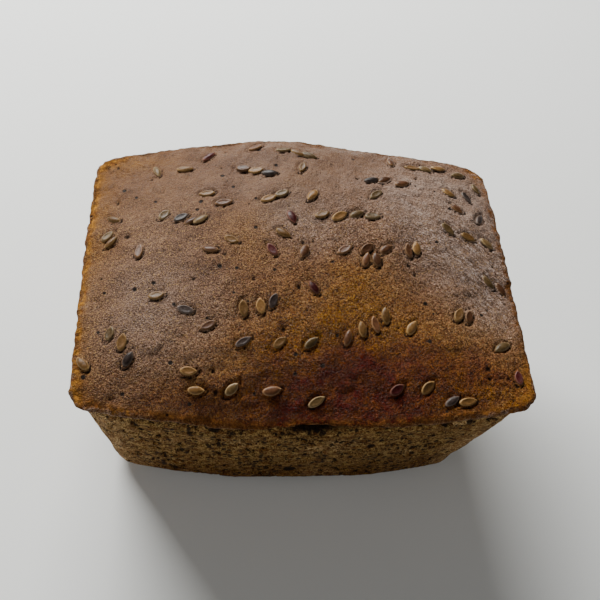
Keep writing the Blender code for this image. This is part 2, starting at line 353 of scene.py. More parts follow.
def lying_frame(place, normal, heading, roll):
    """Where a seed lies: X along it, Z off the crust, rolled a little about its length."""
    across = normal.cross(Vector((math.cos(heading), math.sin(heading), 0.0))).normalized()
    axes = Matrix((across.cross(normal), across, normal)).transposed().to_4x4()
    return Matrix.Translation(place) @ axes @ Matrix.Rotation(roll, 4, "X")


def seed_radius(x, y, heading, at):
    """How far out of a seed's middle a point of the crust is: 1 on the seed's outline."""
    away_x, away_y = at.x - x, at.y - y
    along = away_x * math.cos(heading) + away_y * math.sin(heading)
    across = away_y * math.cos(heading) - away_x * math.sin(heading)
    narrow = 1.0 - SEED_POINT * max(along / SEED_LENGTH, 0.0)
    return math.hypot(2 * along / SEED_LENGTH, 2 * across / (SEED_WIDTH * narrow))


# ---------------------------------------------------------------- features of the top
def hole_mark(at, away, size):
    """Height, painted shade and freedom from seeds of the crust near the middle of a hole."""
    away *= 1 + 0.6 * noise.noise(at / HOLE_REACH)
    deep = bell(away / (HOLE_REACH * size))
    return -HOLE_REACH * size * deep, deep, 1.0


def seed_mark(kind, x, y, heading, at):
    """Height, painted shade and freedom from seeds of the crust round a seed or a sunken one;
    the shade is painted darkest on the side where the seed's shadow falls.
    """
    radius = seed_radius(x, y, heading, at)
    moat = bell((radius - MOAT_RADIUS) / MOAT_WIDTH)
    # the moat is painted dark as the shade in its gap, darkest on the seed's shadow side
    aside = (at.x - x) * PAINTED_SHADOW_SIDE[0] + (at.y - y) * PAINTED_SHADOW_SIDE[1]
    shadow_side = ramp(aside, -0.0012, 0.0010)
    if kind == "seed":
        return -MOAT_DEPTH * moat, mix(0.45, 1.0, shadow_side) * moat, ramp(radius, 1.0, 1.7)
    rise = GHOST_RISE * (1 - ramp(radius, 0.7, 1.1)) - GHOST_MOAT * moat
    # a sunken seed gets painted shadow only on its shadow side
    return rise, 0.60 * moat * shadow_side, 1.0


class Features:
    """Seeds, holes and sunken seeds of the top crust, by where they are. An item is its
    kind, x, y, and a seed's heading or a hole's size."""

    def __init__(self, seeds):
        draw = random.Random(FEATURE_DRAW)
        self.items = [("seed", x, y, heading) for x, y, heading in seeds]
        taken = list(seeds)
        for _ in range(GHOST_COUNT):
            self.strew("ghost", draw, draw.uniform(0.0, math.tau), SEED_LENGTH, taken)
        for _ in range(HOLE_COUNT):
            self.strew("hole", draw, draw.uniform(0.5, 1.0), SEED_PAIR_GAP, taken)
        self.tree = kdtree.KDTree(len(self.items))
        for index, item in enumerate(self.items):
            self.tree.insert(Vector((item[1], item[2], 0.0)), index)
        self.tree.balance()

    def strew(self, kind, draw, size, room, taken):
        """Adds one item at the first free place that is drawn."""
        while True:
            x = draw.uniform(-0.5, 0.5) * RIM_LENGTH
            y = draw.uniform(-0.5, 0.5) * RIM_DEPTH
            if has_room(x, y, taken, room):
                self.items.append((kind, x, y, size))
                taken.append((x, y, size))
                return

    def relief(self, at):
        """Height added to the crust at a point, how much shade is painted there in holes and
        moats, and how free of seeds it is."""
        height, pit_and_shade, free = 0.0, 0.0, 1.0
        for _, index, away in self.tree.find_range(Vector((at.x, at.y, 0.0)), SEED_LENGTH):
            kind, x, y, extra = self.items[index]
            if kind == "hole":
                rise, painted_shade, clear = hole_mark(at, away, extra)
            else:
                rise, painted_shade, clear = seed_mark(kind, x, y, extra, at)
            height += rise
            pit_and_shade = max(pit_and_shade, painted_shade)
            free = min(free, clear)
        return height, pit_and_shade, free


def patches(place, spots):
    """How much of a colour the crust has at a place: soft spots with a ragged edge."""
    shift = PATCH_RAG * noise.noise(place / PATCH_RAG_STEP)
    total = 0.0
    for x, y, reach_x, reach_y, strength in spots:
        away = math.hypot((place.x - x + shift) / reach_x, (place.y - y - shift) / reach_y)
        total += strength * bell(away)
    return min(total, 1.0)


def crumbly(place):
    """How open the broken crumb is at a place: small holes close together."""
    holes = ramp(noise.noise(place / CRUMB_HOLE_STEP), 0.12, 0.34)
    return holes * patches(place, CRUMBLY)


def wrinkles(place):
    """Crepe-like creases round the right shoulder of the crown."""
    away_x, away_y = place.x - WRINKLE_CENTRE[0], place.y - WRINKLE_CENTRE[1]
    radius = math.hypot(away_x, away_y)
    run = math.atan2(away_y, away_x) * WRINKLE_TURN
    crease = noise.noise(Vector((radius / WRINKLE_STEP, run, 0.0)))
    return WRINKLE_HEIGHT * crease * patches(place, CREASED)


# ---------------------------------------------------------------- crust
def corner_weight(x, y):
    """1 at the corners of the rim, which crumbled most."""
    return ramp(abs(x), RIM_LENGTH * 0.38, RIM_LENGTH * 0.48) * ramp(
        abs(y), RIM_DEPTH * 0.34, RIM_DEPTH * 0.48)


def rim_grit(place, out, distance):
    """Fine broken crumb along the rim, coarser in the corners."""
    weight = bell(distance / RIM_GRIT_REACH) * (1 + 0.8 * corner_weight(place.x, place.y))
    side = unevenness(place, RIM_GRIT) * weight
    rise = unevenness(place + Vector((0.1, 0.0, 0.0)), RIM_GRIT) * weight
    return out * side + Vector((0.0, 0.0, 0.8 * rise))


def edge_share(place, distance):
    """How much of the rim's bare crumb shows: most in the corners, least at the back."""
    corner = corner_weight(place.x, place.y)
    browned = ramp(place.y, RIM_DEPTH * 0.34, RIM_DEPTH * 0.46) * (1 - corner)
    return bell(distance / (BARE_EDGE + BARE_CORNER * corner)) * (1 - 0.7 * browned)


def ochre_share(place):
    """How yellow the bare crumb is: yellow on the left and where it lies broken, else red."""
    left = ramp(-place.x, RIM_LENGTH * 0.44, RIM_LENGTH * 0.49)
    return max(0.85 * left, patches(place, CRUMBLY), 0.10)


def top_coarseness(place):
    """How coarse the crust's grain is: fine at the back left and among the creases."""
    open_grain = mix(0.22, 1.0, ramp(place.x - place.y, -0.045, 0.025))
    return open_grain * (1 - 0.5 * patches(place, CREASED))


def top_point(u, v, features):
    """A point of the top crust and its shares of colour."""
    place, out = outline(u, v, 1.0, 0.0, LIP_ROUND)
    inward = (1 - max(abs(u), abs(v))) * RIM_DEPTH / 2
    place.z = top_height(place.x, place.y)
    height, pit_and_shade, free = features.relief(place)
    inner = ramp(inward, 0.0, CALM_EDGE)
    back = LIP_BACK * cracked(place.x, place.y) * bell(inward / LIP_BACK_REACH)
    moved = place + out * (crumb_push(place, inward) - back)
    moved += rim_grit(place, out, inward)
    broken = crumbly(place)
    height += wrinkles(place) - CRUMB_HOLE_DEPTH * broken
    moved.z += height * inner + unevenness(place, GRAIN) * free
    shares = {
        "edge": edge_share(place, inward),
        "ochre": ochre_share(place),
        # painted shade in the holes, the seeds' moats and the broken crumb, with the seeds'
        # painted shadows
        "pit_and_shade": max(pit_and_shade, 0.85 * broken) * inner,
        "baked": patches(place, BAKED),
        "warm": patches(place, AMBER),
        # pale patches, partly dust and partly painted sheen
        "pale_and_lit": patches(place, DUST_AND_SHEEN_SPOTS),
        "creased": patches(place, CREASED),
        "coarse": top_coarseness(place),
        "soft": ramp(place.y, SOFT_FROM, SOFT_TO),
    }
    return moved, shares


def wall_pits(place, smooth):
    """How deep in a pit a wall point is, from 0 to 1: small bubbles that crowd in patches."""
    field = noise.noise(Vector((place.x / PIT_ACROSS, place.y / PIT_ACROSS,
                                place.z / PIT_TALL)))
    patch = noise.noise(place / PIT_CROWDS + Vector((5.0, 0.0, 0.0)))
    start = 0.18 - 0.24 * patch + 0.30 * smooth
    return ramp(field, start, start + 0.18)


def wall_dents(place):
    """The few larger dents of the front wall, painted dark as the shade in them."""
    if place.y > 0:
        return 0.0
    return max(bell(math.hypot((place.x - x) / reach_x, (place.z - z) / reach_z) ** 2)
               for x, z, reach_x, reach_z in DENTS)


def seam(place, below):
    """A thin broken groove under the front lip, on either side of the crack, painted dark as the
    shade under the lip.
    """
    if place.y > 0:
        return 0.0
    drop = SEAM_DROP + SEAM_WANDER * noise.noise(place / 0.006)
    broken = ramp(noise.noise(place / 0.0035), -0.40, -0.10)
    span = ramp(place.x, *SEAM_START) * (1 - ramp(place.x, *SEAM_END))
    return bell((below - drop) / SEAM_HALF) * broken * span


def crack_shade(place, below):
    """How much shade is painted into the crack in the front lip: darkest a little under its
    middle.
    """
    return cracked(place.x, place.y) * bell((below - CRACK_DROP - 0.0008) / 0.0016)


def wall_point(u, v, share):
    """A point of a wall and its shares of colour."""
    edge, _ = outline(u, v, 1.0, 0.0, LIP_ROUND)
    rim = top_height(edge.x, edge.y)
    height = rim * share
    below = rim - height
    place, out = outline(u, v, share, below, wall_set_back(height, below))
    place.z = height
    ease = min(share * (1 - share) * WALL_EASE, 1.0)
    smooth = ramp(min(abs(u), abs(v)), 0.60, 1.00)
    line = seam(place, below)
    dent = wall_dents(place)
    pit_and_shade = max(wall_pits(place, smooth), dent) * ramp(below, 0.0015, 0.0045)
    off_base = ramp(height, 0.0, 0.004)
    push = crumb_push(place, below) - crack_depth(place.x, place.y, below)
    push += unevenness(place, SWELLS) * ease - SEAM_DEPTH * line
    push += (unevenness(place, WALL_GRAIN) - PIT_DEPTH * pit_and_shade) * off_base
    moved = place + out * push + rim_grit(place, out, below) * off_base
    shares = {
        "wall": ramp(below, 0.0008, 0.0020),
        "edge": edge_share(place, below * 1.3),
        "ochre": ochre_share(place),
        # painted shade in the pits, dents, crack and seam
        "pit_and_shade": max(pit_and_shade * 0.75, dent, crack_shade(place, below), line * 0.9),
        "warm": ramp(-height, -0.034, -0.004),
        # the corners are smoother, and painted paler as the side light falling on them
        "pale_and_lit": smooth,
        "coarse": WALL_COARSENESS,
    }
    return moved, shares


SHARES = ("wall", "edge", "ochre", "pit_and_shade", "baked", "warm", "pale_and_lit", "creased", "coarse",
          "soft")


def loaf_point(u, v, w, features):
    """Place and shares of a point on the surface of a cube from -1 to 1."""
    if w > 0.999:
        return top_point(u, v, features)
    even = (w + 1) / 2
    bunched = (1 - math.cos(math.pi * even)) / 2
    return wall_point(u, v, mix(even, bunched, RING_BUNCHING))


def split_edges(bm, axis, cells):
    edges = [e for e in bm.edges if abs(e.verts[0].co[axis] - e.verts[1].co[axis]) > 0.5]
    bmesh.ops.subdivide_edges(bm, edges=edges, cuts=cells - 1, use_grid_fill=True)


def make_crust(seeds):
    """The whole crust as one closed mesh, with shares for its colouring on each point."""
    bm = bmesh.new()
    bmesh.ops.create_cube(bm, size=2.0)
    for axis, cells in enumerate((CELLS_X, CELLS_Y, CELLS_Z)):
        split_edges(bm, axis, cells)
    base = [f for f in bm.faces if f.normal.z < -0.5]
    bmesh.ops.dissolve_faces(bm, faces=base, use_verts=True)
    layers = {name: bm.verts.layers.float.new(name) for name in SHARES}
    features = Features(seeds)
    for vert in bm.verts:
        vert.co, shares = loaf_point(*vert.co, features)
        for name, share in shares.items():
            vert[layers[name]] = share
    return finished_piece("crust", bm)


def finished_piece(name, bm):
    mesh = bpy.data.meshes.new(name)
    bm.to_mesh(mesh)
    bm.free()
    mesh.shade_smooth()
    piece = bpy.data.objects.new(name, mesh)
    bpy.context.scene.collection.objects.link(piece)
    return piece


# ---------------------------------------------------------------- linseed
def seed_face(radius, dish):
    """Half thickness at a distance from a seed's middle; a dished one has a raised rim."""
    plump = (1 - radius ** 2.4) ** 0.6
    raised = 0.20 * bell((radius - 0.86) / 0.09)
    hollow = 0.45 * (1 - ramp(radius, 0.30, 0.80))
    return plump + dish * (raised - hollow)


def seed_form(dish):
    """Points of a seed of unit length, width and thickness, how near its rim each is,
    and its faces."""
    bm = bmesh.new()
    bmesh.ops.create_uvsphere(bm, u_segments=SEED_SIDES, v_segments=SEED_BANDS, radius=1.0)
    points, rims = [], []
    for vert in bm.verts:
        radius = min(math.hypot(vert.co.x, vert.co.y), 1.0)
        forward = max(vert.co.x / max(radius, 1e-6), 0.0)
        sideways = abs(vert.co.y) / max(radius, 1e-6)
        taper = max(sideways, 1e-6) ** (TIP_SHARPNESS * forward ** 3)
        narrow = (1.0 - SEED_POINT * max(vert.co.x / 2, 0.0)) * taper
        thick = seed_face(radius, dish if vert.co.z > 0 else 0.0)
        side = 0.0 if abs(vert.co.z) < 1e-5 else math.copysign(0.5, vert.co.z)
        points.append(Vector((vert.co.x / 2, vert.co.y / 2 * narrow, side * thick)))
        rims.append(ramp(radius, 0.74, 0.88))
    faces = [[v.index for v in face.verts] for face in bm.faces]
    bm.free()
    return points, rims, faces


class Heap:
    """The seeds of one kind, gathered in one mesh."""

    def __init__(self):
        self.bm = bmesh.new()
        self.rim = self.bm.verts.layers.float.new("rim")
        self.tone = self.bm.verts.layers.float.new("tone")

    def add(self, form, stance, size, bend, tone):
        points, rims, faces = form
        verts = []
        for point, rim in zip(points, rims):
            shaped = Vector((point.x * size.x, point.y * size.y, point.z * size.z))
            shaped.y += bend * size.x * point.x ** 2
            vert = self.bm.verts.new(stance @ shaped)
            vert[self.rim] = rim
            vert[self.tone] = tone
            verts.append(vert)
        for face in faces:
            self.bm.faces.new([verts[index] for index in face])


def make_seeds(seeds):
    """One joined mesh for each kind of seed, every seed uneven in size and tone."""
    lie = random.Random(SEED_DRAW + 1)
    look = random.Random(SEED_DRAW + 2)
    plain, dished = seed_form(0.0), seed_form(1.0)
    heaps = {kind: Heap() for kind in SEED_KINDS}
    for x, y, heading in seeds:
        normal = top_normal(x, y)
        lift = SEED_THICKNESS * (lie.uniform(*SEED_PROUD) - 0.5)
        roll = lie.uniform(-SEED_ROLL, SEED_ROLL)
        place = Vector((x, y, top_height(x, y))) + normal * lift
        kind = look.choices(SEED_KINDS, SEED_SHARES)[0]
        form = dished if look.random() < DISHED else plain
        size = Vector((SEED_LENGTH * look.uniform(0.86, 1.04),
                       SEED_WIDTH * look.uniform(0.74, 0.98), SEED_THICKNESS))
        bend = look.uniform(-SEED_BEND, SEED_BEND)
        stance = lying_frame(place, normal, heading, roll)
        heaps[kind].add(form, stance, size, bend, look.random())
    return {kind: finished_piece(f"linseed_{kind}", heap.bm) for kind, heap in heaps.items()}


# ---------------------------------------------------------------- shader helpers
def new_material(name, roughness, specular):
    material = bpy.data.materials.new(name)
    material.use_nodes = True
    tree = material.node_tree
    shader = tree.nodes["Principled BSDF"]
    shader.inputs["Roughness"].default_value = roughness
    shader.inputs["Specular IOR Level"].default_value = specular
    return material, tree, shader


def plug(tree, socket, value):
    """Sets an input to a number or colour, or links it to an output."""
    if isinstance(value, bpy.types.NodeSocket):
        tree.links.new(value, socket)
    else:
        socket.default_value = value


def texture(tree, scale, detail=3.0, rough=0.55, stretch=(1.0, 1.0, 1.0)):
    """Noise over the piece's own coordinates; scale is in bumps a metre."""
    place = tree.nodes.new("ShaderNodeTexCoord")
    mapping = tree.nodes.new("ShaderNodeMapping")
    mapping.inputs["Scale"].default_value = stretch
    field = tree.nodes.new("ShaderNodeTexNoise")
    field.inputs["Scale"].default_value = scale
    field.inputs["Detail"].default_value = detail
    field.inputs["Roughness"].default_value = rough
    tree.links.new(place.outputs["Object"], mapping.inputs["Vector"])
    tree.links.new(mapping.outputs["Vector"], field.inputs["Vector"])
    return field.outputs["Fac"]


def cells(tree, scale, stretch=(1.0, 1.0, 1.0), warp=0.0):
    """Rounded cells: distance from a cell's middle, and a number drawn for the cell."""
    place = tree.nodes.new("ShaderNodeTexCoord")
    mapping = tree.nodes.new("ShaderNodeMapping")
    mapping.inputs["Scale"].default_value = stretch
    tree.links.new(place.outputs["Object"], mapping.inputs["Vector"])
    ripple = tree.nodes.new("ShaderNodeTexNoise")
    ripple.inputs["Scale"].default_value = scale / 2
    tree.links.new(mapping.outputs["Vector"], ripple.inputs["Vector"])
    shift = tree.nodes.new("ShaderNodeVectorMath")
    shift.operation = "MULTIPLY_ADD"
    tree.links.new(ripple.outputs["Color"], shift.inputs[0])
    shift.inputs[1].default_value = (warp / scale,) * 3
    tree.links.new(mapping.outputs["Vector"], shift.inputs[2])
    field = tree.nodes.new("ShaderNodeTexVoronoi")
    field.inputs["Scale"].default_value = scale
    tree.links.new(shift.outputs["Vector"], field.inputs["Vector"])
    drawn = tree.nodes.new("ShaderNodeSeparateColor")
    tree.links.new(field.outputs["Color"], drawn.inputs[0])
    return field.outputs["Distance"], drawn.outputs[0]


def share_of(tree, name):
    """The share stored on the mesh under that name."""
    reader = tree.nodes.new("ShaderNodeAttribute")
    reader.attribute_name = name
    return reader.outputs["Fac"]


def graded(tree, field, low, high, out_low=0.0, out_high=1.0):
    """A field stretched from low..high to out_low..out_high, and held at the ends."""
    stretch = tree.nodes.new("ShaderNodeMapRange")
    stretch.interpolation_type = "SMOOTHSTEP"
    for name, value in zip(("Value", "From Min", "From Max", "To Min", "To Max"),
                           (field, low, high, out_low, out_high)):
        plug(tree, stretch.inputs[name], value)
    return stretch.outputs["Result"]


def worked(tree, operation, a, b):
    step = tree.nodes.new("ShaderNodeMath")
    step.operation = operation
    plug(tree, step.inputs[0], a)
    plug(tree, step.inputs[1], b)
    return step.outputs[0]


def times(tree, a, b):
    return worked(tree, "MULTIPLY", a, b)


def scaled(tree, name, bottom, top):
    """A factor that goes from bottom to top as the named share goes from 0 to 1."""
    return graded(tree, share_of(tree, name), 0.0, 1.0, bottom, top)


def eased(tree, field, low, high, strength):
    """A field graded from 0 to 1, and nearer to one half where its strength is less."""
    bottom = graded(tree, strength, 0.0, 1.0, 0.5, 0.0)
    top = graded(tree, strength, 0.0, 1.0, 0.5, 1.0)
    return graded(tree, field, low, high, bottom, top)


def mixed(tree, share, a, b, mode="MIX"):
    blend = tree.nodes.new("ShaderNodeMix")
    blend.data_type = "RGBA"
    blend.blend_type = mode
    plug(tree, blend.inputs[0], share)
    plug(tree, blend.inputs[6], a)
    plug(tree, blend.inputs[7], b)
    return blend.outputs[2]


def toned(tree, colour, amount):
    """Colour made lighter or darker by a field that is about 1."""
    grey = tree.nodes.new("ShaderNodeCombineColor")
    for channel in range(3):
        tree.links.new(amount, grey.inputs[channel])
    return mixed(tree, 1.0, colour, grey.outputs[0], "MULTIPLY")


def tinted(tree, colour, share, low, high):
    """Colour multiplied by a tint that goes from low to high with the share."""
    return mixed(tree, 1.0, colour, mixed(tree, share, low, high), "MULTIPLY")


def bumped(tree, height, distance, before=None):
    """Relief of a height field, in metres, on top of any relief before it."""
    bump = tree.nodes.new("ShaderNodeBump")
    bump.inputs["Distance"].default_value = distance
    tree.links.new(height, bump.inputs["Height"])
    if before is not None:
        tree.links.new(before, bump.inputs["Normal"])
    return bump.outputs["Normal"]


# ---------------------------------------------------------------- colours
RUSSET = (0.186, 0.084, 0.034, 1.0)
UMBER = (0.126, 0.048, 0.014, 1.0)
GOLDEN = (0.236, 0.092, 0.002, 1.0)
# greyish mauve of the pale patches, partly dust and partly painted sheen
MAUVE_GREY = (0.290, 0.203, 0.162, 1.0)
DARK_RED = (0.064, 0.002, 0.000, 1.0)
# pale specks painted as glints on the grain
GLINT_SPECK = (0.420, 0.250, 0.095, 1.0)
GOLD_SPECK = (0.480, 0.235, 0.040, 1.0)
KHAKI = (0.236, 0.133, 0.042, 1.0)
KHAKI_PALE = (0.370, 0.225, 0.096, 1.0)
FOOT_AMBER = (0.120, 0.046, 0.006, 1.0)
OCHRE = (0.340, 0.150, 0.022, 1.0)
CRUMB_RED = (0.150, 0.050, 0.010, 1.0)
# near black of the painted shade in holes, pits, moats, the crack and the seam
PIT_SHADE = (0.010, 0.005, 0.003, 1.0)
# Hollows of the grain are painted redder and darker than the crust as shade, its crests paler
# and greyer as a painted sheen
SHADED_HOLLOW_TINT = (0.60, 0.43, 0.30, 1.0)
SHEEN_CREST_TINT = (1.36, 1.46, 1.52, 1.0)
FINE_SHADED_HOLLOW_TINT = (0.42, 0.30, 0.20, 1.0)
FINE_SHEEN_CREST_TINT = (1.72, 1.86, 1.98, 1.0)
CREASE_SHADED_HOLLOW_TINT = (0.94, 0.86, 0.78, 1.0)
CREASE_SHEEN_CREST_TINT = (1.62, 1.78, 1.96, 1.0)

# ---------------------------------------------------------------- fields of the crust
# Bumps or cells a metre
DRIFTS = 110.0               # russet against umber
MOTTLE = 260.0               # how uneven the patches of colour are
LUMPS = 1350.0
PEBBLES = 1500.0
POWDER = 3200.0              # the finest grain of colour
POWDER_RELIEF = 2600.0
PORES = 1700.0
SPECKS = 2200.0
GOLD_CRUMBS = 1300.0
PINHOLES = 170.0             # each cell has a hole if its middle meets the crust
SATIN = 500.0                # where the crust is a little glossier or duller
RIM_BREAKS = 420.0
RIM_BLEND = 340.0            # ochre against red crumb
RIM_GRAIN = 1300.0
WALL_DRIFTS = 70.0
WALL_FLOW = 420.0
WALL_POWDER = 2100.0
BUBBLES = 640.0
BUBBLE_CROWDS = 110.0
WALL_FOLDS = 560.0
FOLD_BREAKS = 260.0
HULL_STREAKS = 1400.0        # on the linseed
# Height of the shaded relief, in metres
PEBBLE_BUMP = 0.00030
CREASE_BUMP = 0.00280
LUMP_BUMP = 0.00120
POWDER_BUMP = 0.00050
HULL_BUMP = 0.00008
# Gloss
TOP_ROUGHNESS = 0.36
DULL_ROUGHNESS = 0.90
CRUST_SPECULAR = 0.10
HULL_ROUGHNESS = 0.36
HULL_SPECULAR = 0.14


def creases(tree):
    """Fine folds round the right shoulder of the crown, along its slope."""
    place = tree.nodes.new("ShaderNodeTexCoord")
    flat = tree.nodes.new("ShaderNodeVectorMath")
    flat.operation = "MULTIPLY_ADD"
    tree.links.new(place.outputs["Object"], flat.inputs[0])
    flat.inputs[1].default_value = (1.0, 1.0, 0.0)
    flat.inputs[2].default_value = (-WRINKLE_CENTRE[0], -WRINKLE_CENTRE[1], 0.0)
    radius = tree.nodes.new("ShaderNodeVectorMath")
    radius.operation = "LENGTH"
    tree.links.new(flat.outputs["Vector"], radius.inputs[0])
    parts = tree.nodes.new("ShaderNodeSeparateXYZ")
    tree.links.new(flat.outputs["Vector"], parts.inputs[0])
    turn = worked(tree, "ARCTAN2", parts.outputs["Y"], parts.outputs["X"])
    steps = worked(tree, "DIVIDE", radius.outputs["Value"], WRINKLE_STEP)
    along = tree.nodes.new("ShaderNodeCombineXYZ")
    tree.links.new(steps, along.inputs[0])
    tree.links.new(times(tree, turn, WRINKLE_TURN), along.inputs[1])
    field = tree.nodes.new("ShaderNodeTexNoise")
    field.inputs["Scale"].default_value = 1.8
    field.inputs["Detail"].default_value = 3.0
    tree.links.new(along.outputs["Vector"], field.inputs["Vector"])
    return field.outputs["Fac"]


def pinholes(tree):
    """Sparse crisp round holes where gas left the top crust."""
    away, drawn = cells(tree, PINHOLES)
    reach = graded(tree, drawn, 0.0, 1.0, 0.06, 0.14)
    return graded(tree, away, times(tree, reach, 0.6), reach, 1.0, 0.0)


def wall_folds(tree):
    """Short creases in the walls, painted dark as shade, along the middle line of a noise field.
    """
    field = texture(tree, WALL_FOLDS, 3.0, 0.6, (1.0, 1.0, 1.1))
    away = worked(tree, "ABSOLUTE", worked(tree, "SUBTRACT", field, 0.5), 0.0)
    fold = graded(tree, away, 0.012, 0.034, 1.0, 0.0)
    return times(tree, fold, graded(tree, texture(tree, FOLD_BREAKS, 2.0), 0.44, 0.54, 0.0, 0.9))


def wall_bubbles(tree):
    """Small pits left by bubbles against the tin, uneven in size and crowded in patches,
    and the creases between them."""
    away, drawn = cells(tree, BUBBLES, (1.0, 1.0, 0.9), 0.9)
    crowd = graded(tree, texture(tree, BUBBLE_CROWDS, 3.0), 0.36, 0.60, 0.45, 1.0)
    crowd = times(tree, crowd, scaled(tree, "pale_and_lit", 1.0, 0.55))
    reach = times(tree, graded(tree, drawn, 0.15, 1.0, 0.05, 0.74), crowd)
    pits = graded(tree, away, times(tree, reach, 0.65), reach, 1.0, 0.0)
    return worked(tree, "MAXIMUM", pits, wall_folds(tree))


def crust_fields(tree):
    """The fields that both the colour and the relief of the crust follow."""
    pebble, _ = cells(tree, PEBBLES, warp=1.4)
    on_top = graded(tree, share_of(tree, "wall"), 0.0, 0.2, 1.0, 0.0)
    return {
        "lumps": texture(tree, LUMPS, 4.0, 0.66),
        "pebble": pebble,
        "folds": creases(tree),
        "bubbles": wall_bubbles(tree),
        "holes": times(tree, pinholes(tree), on_top),
    }


# ---------------------------------------------------------------- materials
def patched_colour(tree, mottle, golden):
    """Russet and umber in drifts, with golden patches, pale patches of dust and painted sheen,
    and baked patches over them.
    """
    drifts = texture(tree, DRIFTS, 4.0, 0.6)
    colour = mixed(tree, graded(tree, drifts, 0.40, 0.60), UMBER, RUSSET)
    colour = mixed(tree, golden, colour, GOLDEN)
    # pale patches: partly dust, partly painted sheen
    dust_and_sheen = times(tree, share_of(tree, "pale_and_lit"), graded(tree, mottle, 0.34, 0.62, 0.70, 1.0))
    colour = mixed(tree, dust_and_sheen, colour, MAUVE_GREY)
    baked = times(tree, share_of(tree, "baked"), graded(tree, mottle, 0.30, 0.66, 1.0, 0.75))
    return mixed(tree, baked, colour, DARK_RED)


def grained_colour(tree, colour, fields):
    """The top's colour with its lumps, creases, powdery grain, pores and gaps, with painted
    shade in the hollows and gaps and painted sheen on the crests.
    """
    coarse = share_of(tree, "coarse")
    strength = times(tree, coarse, scaled(tree, "soft", 1.0, 0.5))
    strength = times(tree, strength, scaled(tree, "pale_and_lit", 1.0, 0.6))
    colour = toned(tree, colour, graded(tree, coarse, 0.20, 1.0, 0.61, 1.0))
    # painted shade in the lumps' hollows and painted sheen on their crests, where the bump rises
    # and falls with the same field
    lumpy = eased(tree, fields["lumps"], 0.36, 0.64, strength)
    colour = tinted(tree, colour, lumpy, SHADED_HOLLOW_TINT, SHEEN_CREST_TINT)
    # the creases get painted shade in their hollows and painted sheen on their crests
    folds = graded(tree, fields["folds"], 0.38, 0.62)
    folded = tinted(tree, colour, folds, CREASE_SHADED_HOLLOW_TINT, CREASE_SHEEN_CREST_TINT)
    colour = mixed(tree, share_of(tree, "creased"), colour, folded)
    powdery = graded(tree, texture(tree, POWDER, 2.0, 0.6), 0.38, 0.62,
                     scaled(tree, "soft", 0.0, 0.28), scaled(tree, "soft", 1.0, 0.72))
    colour = tinted(tree, colour, powdery, FINE_SHADED_HOLLOW_TINT, FINE_SHEEN_CREST_TINT)
    pores = texture(tree, PORES, 2.0, 0.5)
    colour = toned(tree, colour, graded(tree, pores, 0.30, 0.40, 0.42, 1.03))
    # painted shade in the gaps between the pebbles of the skin
    shaded_gaps = times(tree, graded(tree, fields["pebble"], 0.40, 0.80), coarse)
    return toned(tree, colour, graded(tree, shaded_gaps, 0.0, 1.0, 1.05, 0.70))


def specked_colour(tree, colour, golden):
    """The top's colour with pale specks painted as glints on its grain, and gold crumbs where it
    is golden.
    """
    # pale specks painted as glints, fewer where the crust is baked or smooth
    glints = graded(tree, texture(tree, SPECKS, 1.0, 0.5), 0.60, 0.70, 0.0, 0.75)
    glints = times(tree, glints, scaled(tree, "baked", 1.0, 0.15))
    glints = times(tree, glints, scaled(tree, "soft", 1.0, 0.3))
    colour = mixed(tree, glints, colour, GLINT_SPECK)
    crumbs = graded(tree, texture(tree, GOLD_CRUMBS, 3.0, 0.6), 0.62, 0.72, 0.0, 0.7)
    unbaked = graded(tree, share_of(tree, "baked"), 0.0, 0.6, 1.0, 0.1)
    crumbs = times(tree, times(tree, crumbs, golden), unbaked)
    return mixed(tree, crumbs, colour, GOLD_SPECK)


def top_colour(tree, fields):
    """Colour of the top crust: patches, then grain, then specks."""
    mottle = texture(tree, MOTTLE, 4.0, 0.6)
    golden = times(tree, share_of(tree, "warm"), graded(tree, mottle, 0.30, 0.66, 0.35, 1.0))
    colour = patched_colour(tree, mottle, golden)
    colour = grained_colour(tree, colour, fields)
    return specked_colour(tree, colour, golden)


def wall_colour(tree, bubbles):
    """Khaki in drifts, painted paler at the corners as the side light on them, amber at the
    foot, with painted shade in its pits and creases.
    """
    drifts = texture(tree, WALL_DRIFTS, 3.0)
    flow = texture(tree, WALL_FLOW, 4.0, 0.6, (1.0, 1.0, 1.6))
    powder = texture(tree, WALL_POWDER, 2.0, 0.6, (1.0, 1.0, 1.4))
    colour = mixed(tree, graded(tree, drifts, 0.54, 0.70, 0.0, 0.7), KHAKI, KHAKI_PALE)
    warm = times(tree, share_of(tree, "warm"), graded(tree, drifts, 0.3, 0.6, 1.0, 0.6))
    colour = mixed(tree, warm, colour, FOOT_AMBER)
    # painted light: the corners are paler where side light falls on them
    colour = mixed(tree, scaled(tree, "pale_and_lit", 0.0, 0.65), colour, KHAKI_PALE)
    # the flow streaks get the same painted shade and sheen tints
    colour = tinted(tree, colour, graded(tree, flow, 0.34, 0.66), SHADED_HOLLOW_TINT, SHEEN_CREST_TINT)
    powdery = graded(tree, powder, 0.38, 0.62)
    colour = tinted(tree, colour, powdery, FINE_SHADED_HOLLOW_TINT, FINE_SHEEN_CREST_TINT)
    # painted shade in the bubble pits and creases
    return mixed(tree, times(tree, bubbles, 0.90), colour, PIT_SHADE)


def edge_colour(tree):
    """Bare crumb of the rim, ochre or red, finely grained."""
    blend = texture(tree, RIM_BLEND, 4.0, 0.6)
    grain = texture(tree, RIM_GRAIN, 2.0, 0.6)
    yellow = times(tree, share_of(tree, "ochre"), graded(tree, blend, 0.36, 0.52))
    colour = mixed(tree, yellow, CRUMB_RED, OCHRE)
    return toned(tree, colour, graded(tree, grain, 0.34, 0.66, 0.60, 1.45))


